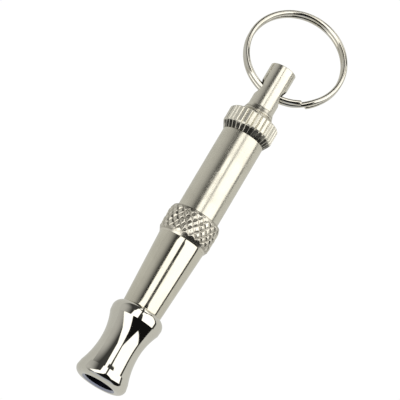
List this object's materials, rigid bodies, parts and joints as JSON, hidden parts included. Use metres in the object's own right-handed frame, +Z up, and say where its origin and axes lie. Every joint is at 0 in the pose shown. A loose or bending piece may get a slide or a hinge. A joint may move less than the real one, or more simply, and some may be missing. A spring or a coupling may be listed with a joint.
{
  "type": "training whistle",
  "caption": "Slim metal dog-training whistle with a waisted mouthpiece, knurled collar, screw-tuned resonator tube, fluted lock nut and split ring.",
  "frame": {"origin": "centre of the mouthpiece's blowing hole, in the plane of its lip", "axes": "+X along the whistle from the mouthpiece to the split ring, +Z up with the whistle lying on its side, +Y to the left looking along +X"},
  "size_m": [0.0991, 0.0239, 0.0124],
  "materials": {
    "bright_chrome": "mirror-bright plating",
    "satin_nickel": "nickel plate with a fine turned grain and light handling wear",
    "polished_nickel": "polished round wire",
    "bare_brass": "turned, unplated",
    "spring_steel": "stamped",
    "seal_rubber": "matt"
  },
  "bodies": {
    "whistle_body": {"mouthpiece": "bright_chrome", "lower_barrel": "satin_nickel", "knurled_collar": "satin_nickel", "upper_tube": "satin_nickel", "windway_plug": "bare_brass", "thread_bush": "bare_brass"},
    "piston_slider": {"piston": "bare_brass", "piston_seal": "seal_rubber"},
    "screw": {"tuning_screw": "satin_nickel", "piston_clip": "spring_steel"},
    "ring": {"split_ring": "polished_nickel"},
    "washer_slider": {"lock_washer": "spring_steel"},
    "nut": {"lock_nut": "satin_nickel"}
  },
  "joints": [
    {"name": "tuning_travel", "type": "slide", "parent": "whistle_body", "child": "piston_slider", "axis": [1, 0, 0], "range_m": [-0.00225, 0.0045]},
    {"name": "tuning_turn", "type": "hinge", "parent": "piston_slider", "child": "screw", "pos_m": [0.0515, 0, 0], "axis": [1, 0, 0], "range_deg": [-1080, 2160]},
    {"name": "ring_swing", "type": "hinge", "parent": "screw", "child": "ring", "pos_m": [0.0762, 0, 0], "axis": [0, 1, 0], "range_deg": [-162, 137]},
    {"name": "lock_nut_travel", "type": "slide", "parent": "whistle_body", "child": "washer_slider", "axis": [1, 0, 0], "range_m": [0, 0.0015]},
    {"name": "lock_nut_turn", "type": "hinge", "parent": "washer_slider", "child": "nut", "pos_m": [0.0667, 0, 0], "axis": [1, 0, 0], "range_deg": [0, 720]}
  ],
  "couplings": [
    {"joint": "tuning_turn", "follows": "tuning_travel", "rad_per_m": 8377.6},
    {"joint": "lock_nut_turn", "follows": "lock_nut_travel", "rad_per_m": 8377.6}
  ]
}
